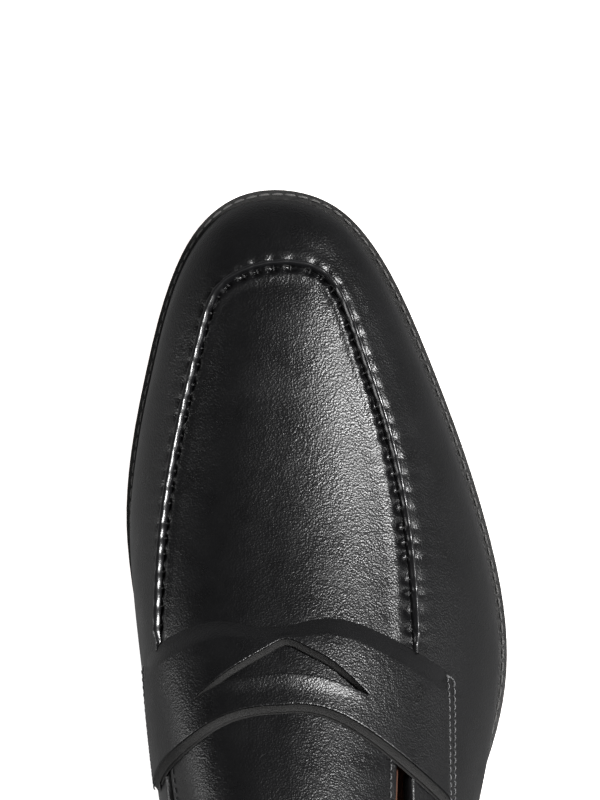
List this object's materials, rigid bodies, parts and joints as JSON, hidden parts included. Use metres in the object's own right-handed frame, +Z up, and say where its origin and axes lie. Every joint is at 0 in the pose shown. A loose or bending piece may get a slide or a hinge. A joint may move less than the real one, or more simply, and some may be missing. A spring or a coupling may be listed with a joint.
{
  "type": "penny loafer",
  "caption": "Right-foot leather slip-on loafer with raised apron seam, saddle strap with a chevron slit, tongue flap, welted leather sole and stacked heel.",
  "frame": {"origin": "centre of the overall box on the ground plane, where the tread and heel rest", "axes": "+Y from heel to toe, +X to the outer (little-toe) side, +Z up"},
  "size_m": [0.107, 0.3027, 0.1044],
  "materials": {
    "black_calf": "semi-gloss fine grain",
    "brown_lining": "matte",
    "brown_suede": "napped",
    "strap_backing": "matte",
    "stiffener": "matte fibre sheet",
    "sole_leather": "smooth, black edge",
    "welt_leather": "satin",
    "cork": "granular cork",
    "shank_steel": "plain",
    "insole_board": "matte",
    "top_piece_rubber": "matte",
    "heel_leather": "polished edge",
    "nail_brass": "plain",
    "black_thread": "waxed",
    "welt_thread": "waxed"
  },
  "bodies": {
    "shoe": {"vamp_wall": "black_calf", "quarter_inner": "black_calf", "quarter_outer": "black_calf", "apron": "black_calf", "apron_seam_bead": "black_calf", "saddle_strap": "black_calf", "topline_binding": "black_calf", "back_strap": "black_calf", "apron_lining": "brown_lining", "vamp_lining": "brown_lining", "quarter_lining_inner": "brown_lining", "quarter_lining_outer": "brown_lining", "heel_grip": "brown_suede", "sock_liner": "brown_lining", "strap_backing": "strap_backing", "toe_puff": "stiffener", "heel_counter": "stiffener", "outsole": "sole_leather", "welt": "welt_leather", "cork_filler": "cork", "cork_sheet": "cork", "shank": "shank_steel", "insole_board": "insole_board", "heel_top_piece": "top_piece_rubber", "heel_lift_1": "heel_leather", "heel_lift_2": "heel_leather", "heel_lift_3": "heel_leather", "top_piece_nails": "nail_brass", "apron_stitches": "black_thread", "strap_stitches_inner": "black_thread", "strap_stitches_outer": "black_thread", "topline_stitches": "black_thread", "side_seam_stitches": "black_thread", "back_strap_stitches": "black_thread", "welt_stitches": "welt_thread"},
    "tongue": {"tongue": "black_calf", "tongue_lining": "brown_lining", "tongue_stitches": "black_thread"}
  },
  "joints": [
    {"name": "tongue_hang", "type": "hinge", "parent": "shoe", "child": "tongue", "pos_m": [0, 0.0125, 0.071], "axis": [1, 0, 0], "range_deg": [0, 8], "stiffness_Nm_per_rad": 0.25}
  ]
}
